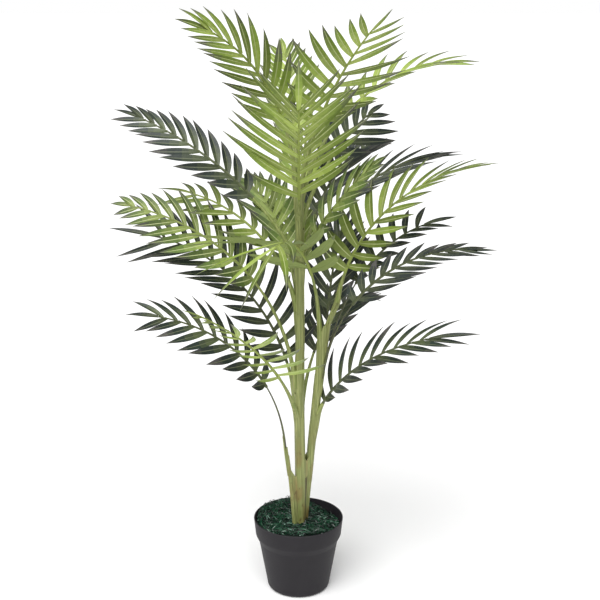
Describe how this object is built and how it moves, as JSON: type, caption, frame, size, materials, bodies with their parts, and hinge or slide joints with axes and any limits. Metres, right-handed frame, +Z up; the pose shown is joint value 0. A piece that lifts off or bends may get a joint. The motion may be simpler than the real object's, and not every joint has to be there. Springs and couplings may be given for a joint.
{
  "type": "potted artificial areca palm",
  "caption": "Artificial palm: leaning plastic stems with arching feathered fronds in light and dark green, standing in a tapered charcoal nursery pot under shredded green grass.",
  "frame": {"origin": "middle of the pot's flat underside", "axes": "+Z up, front of the plant towards -Y, +X to the right seen from the front"},
  "size_m": [0.7039, 0.6845, 1.0801],
  "materials": {
    "pot": "matte charcoal moulded plastic",
    "fill": "rough cast cement",
    "moss": "shredded green plastic grass",
    "stem": "satin moulded plastic with brown tints",
    "stalk": "satin moulded plastic over wire",
    "leaf_light": "coated printed fabric, light green",
    "leaf_olive": "coated printed fabric, olive green",
    "leaf_dark": "coated printed fabric, dark blue-green"
  },
  "bodies": {
    "root": {"pot": "pot", "pot_fill": "fill", "moss": "moss", "trunk": "stem", "stem_middle": "stem", "stem_right": "stem", "stem_right_head": "stem", "shoot_left": "stem", "stalk_top_left": "stalk", "stalk_top_right": "stalk", "stalk_top_back": "stalk", "stalk_high_right": "stalk", "stalk_front": "stalk", "stalk_back_high": "stalk", "stalk_high_back_right": "stalk", "stalk_right_front": "stalk", "stalk_high_left": "stalk", "stalk_right_back": "stalk", "stalk_right_high": "stalk", "stalk_back_middle": "stalk", "stalk_back_upper": "stalk", "stalk_back_lower": "stalk", "stalk_left_front": "stalk", "stalk_centre_front": "stalk", "stalk_right_inner": "stalk", "stalk_left_middle": "stalk", "stalk_right_middle_back": "stalk", "stalk_right_middle": "stalk", "stalk_left_back": "stalk", "stalk_back_low": "stalk", "stalk_left_small": "stalk", "stalk_right_low": "stalk", "stalk_left_low": "stalk", "blade_top_left": "leaf_light", "blade_top_right": "leaf_light", "blade_top_back": "leaf_light", "blade_high_right": "leaf_light", "blade_front": "leaf_light", "blade_back_high": "leaf_light", "blade_high_back_right": "leaf_dark", "blade_right_front": "leaf_olive", "blade_high_left": "leaf_dark", "blade_right_back": "leaf_dark", "blade_right_high": "leaf_light", "blade_back_middle": "leaf_olive", "blade_back_upper": "leaf_dark", "blade_back_lower": "leaf_light", "blade_left_front": "leaf_light", "blade_centre_front": "leaf_light", "blade_right_inner": "leaf_dark", "blade_left_middle": "leaf_light", "blade_right_middle_back": "leaf_dark", "blade_right_middle": "leaf_dark", "blade_left_back": "leaf_dark", "blade_back_low": "leaf_dark", "blade_left_small": "leaf_light", "blade_right_low": "leaf_dark", "blade_left_low": "leaf_dark"}
  },
  "joints": []
}
